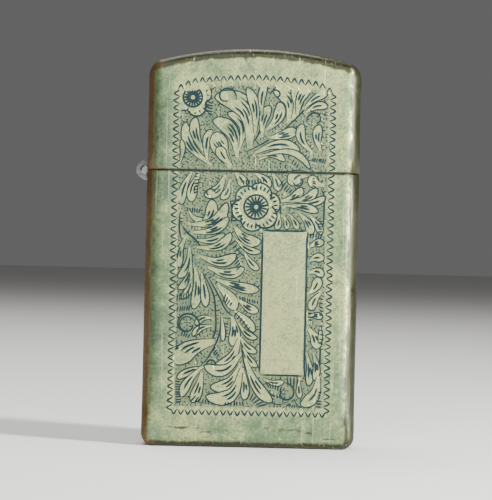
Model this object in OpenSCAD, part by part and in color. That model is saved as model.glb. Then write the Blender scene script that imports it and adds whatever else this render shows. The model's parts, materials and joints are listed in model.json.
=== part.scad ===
// Slim windproof pocket lighter: a hinged drawn-brass case around a steel insert
// that carries the wick, the flint and the striker wheel.
// X is the width (hinge at -X), Y is the thickness (front face at -Y), Z is up.
// The origin is the middle of the flat base.

/* [Case] */
// Width of the closed case
case_w = 30.2; // [29.6:0.1:32]
// Thickness of the case
case_d = 9.9; // [9.8:0.1:10.4]
// Height of the closed case
case_h = 56.5; // [56:0.1:58]
// Height of the lid on its centre line
lid_h = 17.4; // [17:0.1:18]
// Thickness of the brass sheet
wall = 0.6; // [0.5:0.05:0.6]
// Gap between the lid's rim and the case's rim
rim_gap = 0.14; // [0.1:0.02:0.2]
// Radius of the upright edges, seen from above
side_r = 2.2; // [1.8:0.1:2.4]
// Radius of the lid's crown, seen from the front
crown_r = 52; // [45:1:70]
// Radius that joins the crown to the sides
shoulder_r = 2.4; // [2:0.1:2.8]
// Radius of the two base corners, seen from the front
base_r = 1.8; // [1.4:0.1:2]
// Radius of the front and back edges along the crown and the base
edge_r = 1.2; // [1:0.1:1.4]

/* [Hinge] */
// Outer radius of the hinge barrel
barrel_r = 1.3; // [1.2:0.05:1.3]
// Thickness of the hinge leaves
leaf_t = 0.45; // [0.4:0.05:0.45]
// Length of the hinge barrel
barrel_l = 5.4; // [5:0.1:5.4]
// Height of each hinge leaf beyond the barrel
leaf_h = 7.0; // [5:0.5:7]
// Radial clearance of the hinge pin
pin_gap = 0.03; // [0.02:0.01:0.06]

/* [Insert] */
// Width of the steel insert
insert_w = 28.1; // [28:0.05:28.1]
// Thickness of the steel insert
insert_d = 8.3; // [8.1:0.1:8.3]
// Thickness of the insert's steel
tank_t = 0.4; // [0.3:0.05:0.4]
// Height that the insert's deck stands above the case's rim
deck_rise = 2.0; // [1.8:0.1:2]
// Height of the chimney above the deck
chimney_h = 12.6; // [12:0.1:12.6]
// Right-hand end of the chimney, from the centre of the case
chimney_x = 9.8; // [9.4:0.1:9.8]
// Outer thickness of the chimney
chimney_d = 6.6; // [6.6:0.1:6.8]

/* [Striker] */
// Outer radius of the striker wheel
wheel_r = 3.3; // [3.1:0.1:3.3]
// Number of teeth on the striker wheel
wheel_teeth = 30; // [24:2:36]
// Radius of the flint
flint_r = 1.22; // [1.15:0.01:1.25]
// Length of the flint
flint_l = 5.0; // [3:0.5:5]
// Radius of the wick
wick_r = 1.4; // [1.2:0.1:1.4]
// Angle that the cam turns as the lid opens fully
cam_swing = 36; // [30:1:40]

/* [Hidden] */
$fn = 64;

brass = [0.62, 0.58, 0.36];
dark_brass = [0.55, 0.45, 0.25];
steel = [0.72, 0.73, 0.74];
bright = [0.82, 0.83, 0.85];

split_z = case_h - lid_h;               // middle of the gap between the two rims
crown_fn = 180;                         // segments of the full crown circle
arc_steps = 8;                          // segments of a quarter arc in an outline
eps = 0.05;                             // overrun of a cutter
axis_x = -case_w / 2 - 0.25;            // hinge axis
axis_z = split_z;
bore_r = barrel_r - leaf_t;             // bore of the hinge barrel
leaf_x = axis_x + bore_r;               // outer face of both leaves
knuckles = 5;
knuckle_l = barrel_l / knuckles;
knuckle_gap = 0.08;
notch_r = barrel_r + 0.12;              // notch in the walls around the barrel
insert_x = 0.15;                        // the insert stands clear of the hinge leaf
tank_r = 1.6;
tank_z = wall + 0.4;
deck_z = split_z + deck_rise;
plate_z = deck_z - tank_t;              // top of the deck plate
plate_t = 0.5;
chimney_t = 0.45;
chimney_r = 2.6;
chimney_left = -11.3;
chimney_top = deck_z + chimney_h;
wheel_x = -3.6;
wheel_z = deck_z + 6.4;
axle_r = 0.9;
wheel_half = 2.6;
knurl_half = 2.1;
cam_x = -8.9;
cam_z = deck_z + 2.9;
cam_pin_r = 0.8;
cam_heel = 2.0;                         // from the cam's axis to each of its two flats
cam_nose_l = 5.3;
cam_nose_deg = 148;                     // direction of the nose with the lid shut
wick_x = 4.6;
wick_top = deck_z + 8.0;
tube_r = 1.75;
tube_bore = 1.35;
tube_z = 3.0;
tube_top = deck_z + 1.2;
flint_top = wheel_z - wheel_r - 0.06;
flint_z = flint_top - flint_l;
screw_head_z = 1.4;
screw_top = 9.5;
felt_z = 1.3;
felt_top = 3.8;
packs = 5;

// Points along an arc about c, from angle a to angle b.
function arc(c, r, a, b, n = arc_steps) =
    [for (i = [0:n]) c + r * [cos(a + (b - a) * i / n), sin(a + (b - a) * i / n)]];

// Outline of a w by d rectangle with corners of radius r, about the origin.
function rounded(w, d, r) = let (x = w / 2 - r, y = d / 2 - r) concat(
    arc([x, y], r, 0, 90), arc([-x, y], r, 90, 180),
    arc([-x, -y], r, 180, 270), arc([x, -y], r, 270, 360));

// Front outline of the case, set in by i: two base corners, two shoulders and the crown.
function front_outline(i) = let (
    sx = case_w / 2 - shoulder_r,
    bx = case_w / 2 - base_r,
    tilt = asin(sx / (crown_r - shoulder_r)),
    cz = case_h - crown_r,
    sz = cz + (crown_r - shoulder_r) * cos(tilt)) concat(
    arc([sx, sz], shoulder_r - i, 0, 90 - tilt),
    arc([0, cz], crown_r - i, 90 - tilt, 90 + tilt, 16),
    arc([-sx, sz], shoulder_r - i, 90 + tilt, 180),
    arc([-bx, base_r], base_r - i, 180, 270),
    arc([bx, base_r], base_r - i, 270, 360));

// Extrudes an outline drawn in X and Z along Y, centred on Y = y.
module along_y(l, y = 0) {
    translate([0, y, 0]) rotate([90, 0, 0]) linear_extrude(l, center = true) children();
}

// A cylinder along Y.
module pin_y(r, l, x, z, y = 0) {
    translate([x, y, z]) rotate([90, 0, 0]) cylinder(r = r, h = l, center = true);
}

// The case's outer form, set in by i, with rounded edges along the crown.
module crowned_form(i) {
    intersection() {
        linear_extrude(case_h + eps) polygon(rounded(case_w - 2 * i, case_d - 2 * i, side_r - i));
        along_y(case_d + 1) polygon(front_outline(i));
        translate([0, 0, case_h - crown_r]) rotate([90, 0, 0]) rotate_extrude($fn = crown_fn)
            polygon(concat([[0, -case_d / 2 + i]],
                arc([crown_r - edge_r, -case_d / 2 + edge_r], edge_r - i, -90, 0, 5),
                arc([crown_r - edge_r, case_d / 2 - edge_r], edge_r - i, 0, 90, 5),
                [[0, case_d / 2 - i]]));
    }
}

// The case's outer form, set in by i, with rounded edges along the base.
module based_form(i) {
    intersection() {
        linear_extrude(case_h) polygon(rounded(case_w - 2 * i, case_d - 2 * i, side_r - i));
        along_y(case_d + 1) polygon(front_outline(i));
        rotate([90, 0, 90]) linear_extrude(case_w + 1, center = true)
            polygon(concat([[case_d / 2 - i, case_h]], [[-case_d / 2 + i, case_h]],
                arc([-case_d / 2 + edge_r, edge_r], edge_r - i, 180, 270),
                arc([case_d / 2 - edge_r, edge_r], edge_r - i, 270, 360)));
    }
}

// Everything between two heights.
module slab(z0, z1) {
    translate([-case_w, -case_d, z0]) cube([2 * case_w, 2 * case_d, z1 - z0]);
}

// Room for the hinge barrel in both walls.
module hinge_notch() {
    pin_y(notch_r, barrel_l + 0.2, axis_x, axis_z);
}

module case_shell() {
    color(brass) difference() {
        intersection() {
            based_form(0);
            slab(-1, split_z - rim_gap / 2);
        }
        based_form(wall);
        hinge_notch();
    }
}

module lid_shell() {
    color(brass) difference() {
        intersection() {
            crowned_form(0);
            slab(split_z + rim_gap / 2, case_h + 1);
        }
        crowned_form(wall);
        hinge_notch();
    }
}

// One hinge leaf below the axis: a plate, and rolled knuckles at the places in which.
module hinge_leaf(which) {
    plate_top = -barrel_r - 0.3;
    translate([axis_x, 0, axis_z]) difference() {
        union() {
            translate([bore_r, -2.6, plate_top - leaf_h]) cube([leaf_t, 5.2, leaf_h]);
            for (k = which) {
                y0 = -barrel_l / 2 + k * knuckle_l + knuckle_gap / 2;
                l = knuckle_l - knuckle_gap;
                translate([bore_r, y0, plate_top - eps]) cube([leaf_t, l, -plate_top + eps]);
                pin_y(barrel_r, l, 0, 0, y0 + l / 2);
            }
        }
        pin_y(bore_r, barrel_l + 1, 0, 0);
        // the end of the rolled strip stops short of the plate
        rotate([0, 48, 0]) translate([bore_r - 0.3, -barrel_l, -0.11])
            cube([leaf_t + 0.6, 2 * barrel_l, 0.22]);
    }
}

module case_hinge_leaf() {
    color(steel) hinge_leaf([0, 2, 4]);
}

module lid_hinge_leaf() {
    color(steel) translate([0, 0, axis_z]) mirror([0, 0, 1]) translate([0, 0, -axis_z]) hinge_leaf([1, 3]);
}

module hinge_pin() {
    r = bore_r - pin_gap;
    tip = 0.25;
    color(bright) translate([axis_x, 0, axis_z]) rotate([90, 0, 0]) {
        cylinder(r = r, h = barrel_l - tip, center = true);
        for (side = [-1, 1]) mirror([0, 0, side < 0 ? 1 : 0]) translate([0, 0, (barrel_l - tip) / 2])
            cylinder(r1 = r - 0.06, r2 = r - 0.35, h = tip);
    }
}

// Plan outline of the insert, set in by i.
module insert_plan(i) {
    translate([insert_x, 0]) polygon(rounded(insert_w - 2 * i, insert_d - 2 * i, tank_r - i));
}

// Plan outline of the chimney wall's outer or inner face.
module chimney_plan(left, i) {
    x1 = chimney_x - i;
    y1 = chimney_d / 2 - i;
    r = chimney_r - i;
    polygon(concat([[left, -y1]], arc([x1 - r, -y1 + r], r, 270, 360),
        arc([x1 - r, y1 - r], r, 0, 90), [[left, y1]]));
}

module fuel_tank() {
    color(steel) difference() {
        intersection() {
            translate([0, 0, tank_z]) linear_extrude(deck_z - tank_z) insert_plan(0);
            along_y(insert_d + 1) translate([insert_x, deck_z - 30])
                polygon(concat(arc([insert_w / 2 - 1, 29], 1, 0, 90), arc([1 - insert_w / 2, 29], 1, 90, 180),
                    [[-insert_w / 2, -30], [insert_w / 2, -30]]));
            rotate([90, 0, 90]) linear_extrude(insert_w + 2, center = true)
                polygon(concat(arc([insert_d / 2 - 0.7, deck_z - 0.7], 0.7, 0, 90),
                    arc([0.7 - insert_d / 2, deck_z - 0.7], 0.7, 90, 180),
                    [[-insert_d / 2, 0], [insert_d / 2, 0]]));
        }
        linear_extrude(plate_z) insert_plan(tank_t);
        linear_extrude(case_h) chimney_plan(chimney_left - 0.03, -0.03);
    }
}

module deck_plate() {
    color(steel) difference() {
        translate([insert_x, 0, plate_z - plate_t]) linear_extrude(plate_t)
            polygon(rounded(insert_w - 2 * tank_t - 0.1, insert_d - 2 * tank_t - 0.1, tank_r - tank_t));
        translate([wheel_x, 0, 0]) cylinder(r = tube_r + 0.02, h = case_h);
        translate([wick_x, 0, 0]) cylinder(r = wick_r + 0.1, h = case_h);
        translate([0.9, 0, 0]) cylinder(r = 0.6, h = case_h);
    }
}

// Side view of the chimney: the screen around the flame, and two cheeks for the axles.
function chimney_side() = concat(
    [[chimney_left, plate_z], [chimney_left, deck_z + 0.9]],
    arc([cam_x, cam_z], 1.85, 190, 62),
    arc([wheel_x, wheel_z], 2.1, 215, 62),
    [[-1.2, deck_z + 8.7], [-0.3, deck_z + 9.5], [0.4, deck_z + 10.8], [0.4, chimney_top],
        [chimney_x, chimney_top], [chimney_x, plate_z]]);

module chimney() {
    columns = [1.9, 4.3, 6.7];
    color(steel) difference() {
        intersection() {
            translate([0, 0, plate_z]) linear_extrude(chimney_h + tank_t) difference() {
                chimney_plan(chimney_left, 0);
                chimney_plan(chimney_left - 5, chimney_t);
            }
            along_y(chimney_d + 1) polygon(chimney_side());
        }
        for (z = [3.2, 6.1, 9.0], c = [0, 2]) pin_y(1.0, 20, columns[c], deck_z + z);
        for (z = [4.65, 7.55]) pin_y(1.0, 20, columns[1], deck_z + z);
        pin_y(axle_r + 0.02, 20, wheel_x, wheel_z);
        pin_y(cam_pin_r + 0.02, 20, cam_x, cam_z);
    }
}

module striker_wheel() {
    points = [for (i = [0:wheel_teeth - 1], j = [0:1]) let (a = 360 * (i + (j ? 0.8 : 0)) / wheel_teeth)
        (j ? wheel_r : wheel_r - 0.3) * [cos(a), sin(a)]];
    color(dark_brass) translate([wheel_x, 0, wheel_z]) difference() {
        union() {
            along_y(2 * knurl_half) polygon(points);
            pin_y(2.0, 2 * wheel_half, 0, 0);
        }
        pin_y(axle_r + 0.03, 20, 0, 0);
    }
}

// A rivet along Y through both cheeks, with two low heads outside them.
module cheek_rivet(r, head_r, x, z) {
    pin_y(r, chimney_d, x, z);
    for (side = [-1, 1]) pin_y(head_r, 0.35, x, z, side * (chimney_d / 2 + 0.175));
}

module wheel_axle() {
    color(bright) cheek_rivet(axle_r, 1.35, wheel_x, wheel_z);
}

module cam() {
    nose = cam_nose_l * [cos(cam_nose_deg), sin(cam_nose_deg)];
    side = [sin(cam_nose_deg), -cos(cam_nose_deg)];
    color(steel) translate([cam_x, 0, cam_z]) difference() {
        union() {
            along_y(3.0) intersection() {
                union() {
                    circle(2.2);
                    polygon([2.1 * side, nose + 0.5 * side, nose - 0.5 * side, nose * 0.55 - 1.1 * side,
                        -1.9 * side]);
                    translate(nose) circle(0.5);
                }
                // the two flats that sit on the spring, one with the lid shut and one with it open
                translate([-9, -cam_heel]) square([18, 18]);
                rotate(-cam_swing) translate([-9, -cam_heel]) square([18, 18]);
            }
            pin_y(1.4, chimney_d - 2 * chimney_t - 0.2, 0, 0);
        }
        pin_y(cam_pin_r + 0.03, 20, 0, 0);
    }
}

module cam_axle() {
    color(bright) cheek_rivet(cam_pin_r, 1.2, cam_x, cam_z);
}

module cam_spring() {
    t = 0.25;
    low = plate_z;
    high = cam_z - cam_heel - t - 0.02;
    color(bright) difference() {
        union() {
            translate([-6, -2.5, low]) cube([8, 5, t]);
            along_y(3.6) polygon([[-5.8, low], [-5.8, low + t], [-6.1, low + t], [-7.2, high + t], [-11.4, high + t],
                [-12.7, high - 0.12 + t], [-12.7, high - 0.12], [-11.4, high], [-7.1, high], [-6.0, low]]);
        }
        translate([wheel_x, 0, 0]) cylinder(r = tube_r + 0.05, h = case_h);
        translate([0.9, 0, 0]) cylinder(r = 0.6, h = case_h);
    }
}

module cam_spring_rivet() {
    color(bright) translate([0.9, 0, 0]) {
        translate([0, 0, plate_z - plate_t]) cylinder(r = 0.58, h = plate_t + 0.25);
        translate([0, 0, plate_z - plate_t - 0.3]) cylinder(r = 1.05, h = 0.3);
        translate([0, 0, plate_z + 0.25]) cylinder(r1 = 1.05, r2 = 0.75, h = 0.35);
    }
}

module flint_tube() {
    color(dark_brass) translate([wheel_x, 0, 0]) difference() {
        union() {
            translate([0, 0, tube_z]) cylinder(r = tube_r, h = tube_top - tube_z);
            translate([0, 0, plate_z + 0.27]) cylinder(r = tube_r + 0.4, h = 0.3);
        }
        cylinder(r = tube_bore, h = case_h);
    }
}

module flint() {
    color([0.35, 0.35, 0.36]) translate([wheel_x, 0, flint_z]) cylinder(r = flint_r, h = flint_l);
}

module flint_follower() {
    color(dark_brass) translate([wheel_x, 0, 0]) {
        translate([0, 0, flint_z - 1.8]) cylinder(r = 1.2, h = 1.8);
        translate([0, 0, flint_z - 3.1]) cylinder(r1 = 0.45, r2 = 0.7, h = 1.3);
    }
}

// The coil spring under the flint: a round wire swept along a helix.
module flint_spring() {
    turns = 22;
    wire_r = 0.15;
    coil_r = 1.0;
    around = 6;
    per_turn = 12;
    z0 = screw_top + wire_r + 0.02;
    z1 = flint_z - 1.8 - wire_r - 0.02;
    n = turns * per_turn;
    points = [for (i = [0:n], j = [0:around - 1]) let (
        a = 360 * i / per_turn, b = 360 * j / around, r = coil_r + wire_r * cos(b))
        [r * cos(a), r * sin(a), z0 + (z1 - z0) * i / n + wire_r * sin(b)]];
    sides = [for (i = [0:n - 1], j = [0:around - 1]) let (k = (j + 1) % around)
        [i * around + j, (i + 1) * around + j, (i + 1) * around + k, i * around + k]];
    first = [for (j = [0:around - 1]) j];
    last = [for (j = [around - 1:-1:0]) n * around + j];
    color(bright) translate([wheel_x, 0, 0]) polyhedron(points, concat(sides, [first], [last]));
}

module flint_screw() {
    pitch = 0.5;
    thread = [for (i = [0:11]) each [[1.3, 3.1 + i * pitch], [1.08, 3.1 + (i + 0.5) * pitch]]];
    color(dark_brass) translate([wheel_x, 0, 0]) difference() {
        rotate_extrude() polygon(concat([[0, screw_head_z], [2.1, screw_head_z], [2.3, screw_head_z + 0.2],
            [2.3, 2.9], [1.08, 2.9]], thread, [[1.08, screw_top], [0.7, screw_top], [0.6, screw_top + 1],
            [0, screw_top + 1]]));
        translate([-3, -0.35, 1]) cube([6, 0.7, 1.1]);
    }
}

module wick() {
    color([0.93, 0.91, 0.84]) translate([wick_x, 0, 0]) difference() {
        translate([0, 0, felt_top + 0.4]) cylinder(r = wick_r, h = wick_top - felt_top - 0.4);
        cylinder(r = 0.3, h = case_h);
    }
}

module wick_core_wire() {
    color([0.72, 0.42, 0.25]) translate([wick_x, 0, felt_top + 0.4])
        cylinder(r = 0.28, h = wick_top - felt_top - 0.4 + 0.2);
}

module cotton_packing() {
    z0 = felt_top + 0.1;
    step = (plate_z - plate_t - 0.5 - z0) / packs;
    for (i = [0:packs - 1]) color([0.95, 0.94, 0.9]) difference() {
        translate([0, 0, z0 + i * step]) linear_extrude(step - 0.15) insert_plan(tank_t + 0.1);
        translate([wheel_x, 0, 0]) cylinder(r = tube_r + 0.1, h = case_h);
        translate([wick_x, 0, 0]) cylinder(r = wick_r + 0.05, h = case_h);
    }
}

module felt_pad() {
    color([0.88, 0.86, 0.78]) difference() {
        translate([0, 0, felt_z]) linear_extrude(felt_top - felt_z) insert_plan(tank_t + 0.05);
        translate([wheel_x, 0, 0]) cylinder(r = 2.5, h = tube_z);
        translate([wheel_x, 0, 0]) cylinder(r = tube_r + 0.05, h = case_h);
    }
}

case_shell();
lid_shell();
case_hinge_leaf();
lid_hinge_leaf();
hinge_pin();
fuel_tank();
deck_plate();
chimney();
striker_wheel();
wheel_axle();
cam();
cam_axle();
cam_spring();
cam_spring_rivet();
flint_tube();
flint();
flint_follower();
flint_spring();
flint_screw();
wick();
wick_core_wire();
cotton_packing();
felt_pad();
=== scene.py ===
"""Looks of a slim flip-top pocket lighter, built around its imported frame.

X is the width, with the hinge at -X; Y is the thickness, with the engraved face at -Y; Z is up.
Shapes are worked out in millimetres and scaled to metres where a mesh is made.
"""

import json
import math
import random

import bmesh
import bpy
import numpy as np
from mathutils import Matrix, Vector, noise
from mathutils.geometry import delaunay_2d_cdt


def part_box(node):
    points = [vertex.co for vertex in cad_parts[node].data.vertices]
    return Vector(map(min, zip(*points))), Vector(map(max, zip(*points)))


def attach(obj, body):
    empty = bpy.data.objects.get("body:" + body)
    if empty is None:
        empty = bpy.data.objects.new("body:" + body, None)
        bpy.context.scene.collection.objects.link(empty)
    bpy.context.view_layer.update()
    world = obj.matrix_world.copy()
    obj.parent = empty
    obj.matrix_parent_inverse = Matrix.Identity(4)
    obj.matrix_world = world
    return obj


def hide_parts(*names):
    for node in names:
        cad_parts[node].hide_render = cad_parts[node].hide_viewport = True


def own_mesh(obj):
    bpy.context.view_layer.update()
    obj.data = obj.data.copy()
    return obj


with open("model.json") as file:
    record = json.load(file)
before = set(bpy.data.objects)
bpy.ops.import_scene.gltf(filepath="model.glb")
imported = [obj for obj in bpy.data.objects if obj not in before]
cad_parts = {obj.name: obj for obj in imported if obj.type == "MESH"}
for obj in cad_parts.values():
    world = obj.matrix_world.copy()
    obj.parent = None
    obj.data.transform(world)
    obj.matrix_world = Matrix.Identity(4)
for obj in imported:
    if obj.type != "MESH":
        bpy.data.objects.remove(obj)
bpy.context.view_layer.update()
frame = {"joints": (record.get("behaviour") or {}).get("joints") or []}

MM = 0.001


def box_mm(node):
    """Lowest and highest corner of a frame node, in millimetres."""
    low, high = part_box(node)
    return low / MM, high / MM


# ---------------------------------------------------------------- sizes, from the frame

CASE_HIGH = box_mm("case_shell")[1]
LID_LOW, LID_HIGH = box_mm("lid_shell")
HALF_W = CASE_HIGH.x
HALF_D = CASE_HIGH.y
TOP = LID_HIGH.z
CASE_RIM = CASE_HIGH.z
LID_RIM = LID_LOW.z
HINGE = next(j for j in frame["joints"] if j["name"] == "lid_hinge")
HINGE_AT = Vector(HINGE["pos_m"]) / MM

WALL = 0.6            # brass sheet
SIDE_EDGE = 2.2       # radius of the upright edges
END_EDGE = 1.2        # radius of the edges along the crown and the base
FOOT_EDGE = 1.35      # edge radius where a side meets the base corner
CROWN_R = 52.0
SHOULDER_R = 2.4
FOOT_R = 1.8
RIM_CHAMFER = 0.07
FLAT_MARGIN = 0.15    # strip of the flat face that is meshed with the rounded edge
EDGE_STEPS = 7        # segments of each rounded edge
NOTCH_R = 1.42
NOTCH_HALF = 2.8


# ---------------------------------------------------------------- small mesh helpers

def mesh_object(name, verts, faces, materials, smooth=True, face_slots=None):
    """A new object whose mesh is given in millimetres."""
    data = bpy.data.meshes.new(name)
    data.from_pydata([Vector(v) * MM for v in verts], [], faces)
    for m in materials:
        data.materials.append(m)
    if face_slots is not None:
        data.polygons.foreach_set("material_index", face_slots)
    data.polygons.foreach_set("use_smooth", [smooth] * len(data.polygons))
    data.update()
    thing = bpy.data.objects.new(name, data)
    bpy.context.scene.collection.objects.link(thing)
    return thing


def with_modifiers_applied(thing):
    """Bakes the live modifiers of an object into its own mesh."""
    graph = bpy.context.evaluated_depsgraph_get()
    solid = bpy.data.meshes.new_from_object(thing.evaluated_get(graph))
    thing.modifiers.clear()
    old = thing.data
    thing.data = solid
    bpy.data.meshes.remove(old)
    return thing


def cylinder_cutter(radius, length, centre):
    """A cylinder along Y, in millimetres."""
    cutter = bpy.data.objects.new("cutter", bpy.data.meshes.new("cutter"))
    bm = bmesh.new()
    turn = Matrix.Rotation(math.pi / 2, 4, "X")
    place = Matrix.Translation(Vector(centre) * MM)
    bmesh.ops.create_cone(bm, cap_ends=True, segments=64, radius1=radius * MM, radius2=radius * MM,
                          depth=length * MM, matrix=place @ turn)
    bm.to_mesh(cutter.data)
    bm.free()
    bpy.context.scene.collection.objects.link(cutter)
    return cutter


def cut(thing, cutter):
    """Takes the cutter out of an object's mesh and removes the cutter."""
    cutter.data.materials.append(thing.data.materials[0])
    boolean = thing.modifiers.new("cut", "BOOLEAN")
    boolean.operation = "DIFFERENCE"
    boolean.solver = "EXACT"
    boolean.object = cutter
    with_modifiers_applied(thing)
    bpy.data.objects.remove(cutter)


# ---------------------------------------------------------------- curves in the face's plane

def through(points, spacing=0.2):
    """A smooth line through the points, with points about that far apart."""
    p = [np.array(q, float) for q in points]
    if len(p) == 2:
        p = [p[0], (p[0] + p[1]) / 2, p[1]]
    p = [2 * p[0] - p[1]] + p + [2 * p[-1] - p[-2]]
    line = []
    for a, b, c, d in zip(p, p[1:], p[2:], p[3:]):
        n = max(1, int(round(np.linalg.norm(c - b) / spacing)))
        for i in range(n):
            t = i / n
            line.append(0.5 * (2 * b + (c - a) * t + (2 * a - 5 * b + 4 * c - d) * t * t
                               + (3 * b - a - 3 * c + d) * t ** 3))
    return line + [p[-2]]


def within(points, polygon):
    """Whether each point lies inside a closed polygon."""
    p = np.asarray(points, float)[:, None, :]
    a = np.asarray(polygon, float)
    b = np.roll(a, -1, axis=0)
    rise = np.where(b[:, 1] == a[:, 1], 1e-12, b[:, 1] - a[:, 1])
    crosses = (a[None, :, 1] > p[..., 1]) != (b[None, :, 1] > p[..., 1])
    x = a[None, :, 0] + (p[..., 1] - a[None, :, 1]) / rise * (b - a)[None, :, 0]
    return (crosses & (p[..., 0] < x)).sum(1) % 2 == 1


def circle(centre, r, n=24):
    turn = [2 * math.pi * i / n for i in range(n)]
    return [(centre[0] + r * math.cos(a), centre[1] + r * math.sin(a)) for a in turn]


# ---------------------------------------------------------------- engraving

class Engraving:
    """Graver cuts on the front face: each is a line of points with a width at every point."""

    def __init__(self, seed):
        self.cuts = []
        self.shapes = []
        self.chance = random.Random(seed)

    def cut(self, points, width=0.26, start=0.35, end=0.35, spacing=0.2):
        """One stroke that swells to its full width and thins to its two ends."""
        line = through(points, spacing)
        n = len(line) - 1
        full = width * self.chance.uniform(0.92, 1.12)
        widths = []
        for i in range(n + 1):
            t = i / n
            swell = min(1.0, start + (1 - start) * t / 0.25, end + (1 - end) * (1 - t) / 0.25)
            widths.append(full * swell)
        self.cuts.append((line, widths))

    def keep(self, polygon, outside):
        """Keeps only the parts of the cuts that lie outside, or inside, a closed polygon."""
        kept = []
        for line, widths in self.cuts:
            run = []
            for p, w, inside in zip(line, widths, within(line, polygon)):
                if inside != outside:
                    run.append((p, w))
                    continue
                if len(run) > 2:
                    kept.append(tuple(zip(*run)))
                run = []
            if len(run) > 2:
                kept.append(tuple(zip(*run)))
        self.cuts = kept

    def cover(self, polygon):
        """Lays a shape over the work so far, which goes where it is hidden."""
        self.keep(polygon, True)
        self.shapes.append(polygon)

    def leaf(self, base, tip, bend, width, shades=2, hook=0):
        """A lobed leaf on a bent spine: outline, shading cuts, and a curl at the tip on the hook's side."""
        fat = 0.66
        b, t = np.array(base, float), np.array(tip, float)
        along = t - b
        side = np.array([-along[1], along[0]]) / np.linalg.norm(along)

        def spine(u):
            return b + along * u + side * bend * 4.3 * u ** 1.3 * (1 - u)

        def half(u):
            if u < fat:
                return width / 2 * (0.28 + 0.72 * (u / fat) ** 1.1)
            return width / 2 * math.sqrt(max(0.0, 1 - ((u - fat) / (1 - fat)) ** 2))

        def at(u, f):
            d = spine(min(1, u + 0.01)) - spine(max(0, u - 0.01))
            return spine(u) + np.array([-d[1], d[0]]) / np.linalg.norm(d) * half(u) * f

        us = [0.0, 0.12, 0.28, 0.45, 0.6, 0.74, 0.86, 0.95]
        outline = [at(u, 1) for u in us] + [spine(1.0)] + [at(u, -1) for u in us[::-1]]
        self.cover(through(outline, 0.25))
        self.cut(outline, 0.2, 0.5, 0.5)
        for k in range(shades):
            f = ((k + 1) / (shades + 1) * 2 - 1) * 0.92
            last = 0.80 - 0.16 * ((k * 7) % 3) / 2 - 0.12 * abs(f)
            first = 0.30 + 0.12 * (k % 2)
            run = [first + (last - first) * i / 4 for i in range(5)]
            self.cut([at(u, f) for u in run], 0.3, 0.3, 0.2)
        if hook:
            eye, r = at(0.80, 0.42 * hook), 0.26 * width
            d = spine(1.0) - spine(0.9)
            self.curl(eye, r, math.degrees(math.atan2(d[1], d[0])) + 20 * hook, 290 * hook, 0.35 * r, 0.27)

    def curl(self, centre, r, start, turn, r_end=None, width=0.26):
        """A spiral cut that closes in on its centre."""
        r_end = r * 0.35 if r_end is None else r_end
        n = max(6, int(abs(turn) / 24))
        points = []
        for i in range(n + 1):
            a = math.radians(start + turn * i / n)
            q = r + (r_end - r) * i / n
            points.append((centre[0] + q * math.cos(a), centre[1] + q * math.sin(a)))
        self.cut(points, width, 0.4, 0.8)

    def rungs(self, a, b, n, width=0.22):
        """Short bars between two lines, like the rungs of a ladder."""
        pa, pb = through(a, 0.1), through(b, 0.1)
        for i in range(n):
            t = (i + 0.5) / n
            p, q = pa[int(t * (len(pa) - 1))], pb[int(t * (len(pb) - 1))]
            self.cut([p, q], width, 0.8, 0.6)

    def ring(self, centre, r, width=0.22, start=0, turn=360):
        n = max(8, int(abs(turn) / 20))
        points = [(centre[0] + r * math.cos(math.radians(start + turn * i / n)),
                   centre[1] + r * math.sin(math.radians(start + turn * i / n))) for i in range(n + 1)]
        self.cut(points, width, 1, 1)

    def spokes(self, centre, r0, r1, n, width=0.2, start=0.0, turn=360.0):
        for i in range(n):
            a = math.radians(start + turn * (i + 0.5) / n)
            c, s = math.cos(a), math.sin(a)
            self.cut([(centre[0] + r0 * c, centre[1] + r0 * s), (centre[0] + r1 * c, centre[1] + r1 * s)],
                     width, 0.7, 0.5)

    def ground(self, field, pitch=0.36, clear=0.24, length=0.42):
        """Short cuts square to the nearest line, wherever the ground between the shapes is still bare."""
        segments = np.array([(*a, *b) for line, _ in self.cuts for a, b in zip(line, line[1:])])
        lows, highs = np.min(field, axis=0), np.max(field, axis=0)
        spots = []
        for i in range(int((highs[0] - lows[0]) / pitch)):
            for k in range(int((highs[1] - lows[1]) / pitch)):
                spots.append((lows[0] + pitch * (i + self.chance.uniform(0.2, 0.8)),
                              lows[1] + pitch * (k + self.chance.uniform(0.2, 0.8))))
        spots = np.array(spots)
        spots = spots[within(spots, field)]
        for shape in self.shapes:
            spots = spots[~within(spots, shape)]
        taken = np.zeros((0, 2))
        for p in spots:
            a, ab = segments[:, 0:2], segments[:, 2:4] - segments[:, 0:2]
            t = np.clip(((p - a) * ab).sum(1) / np.maximum((ab * ab).sum(1), 1e-9), 0, 1)
            away = p - (a + ab * t[:, None])
            gaps = np.linalg.norm(away, axis=1)
            near = gaps.argmin()
            crowded = len(taken) and np.linalg.norm(taken - p, axis=1).min() < pitch
            if gaps[near] < clear or gaps[near] > 1.2 or crowded:
                continue
            way = away[near] / gaps[near]
            self.cut([p - way * length / 2, p + way * length / 2], 0.2, 0.8, 0.6)
            taken = np.vstack([taken, p])


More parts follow.
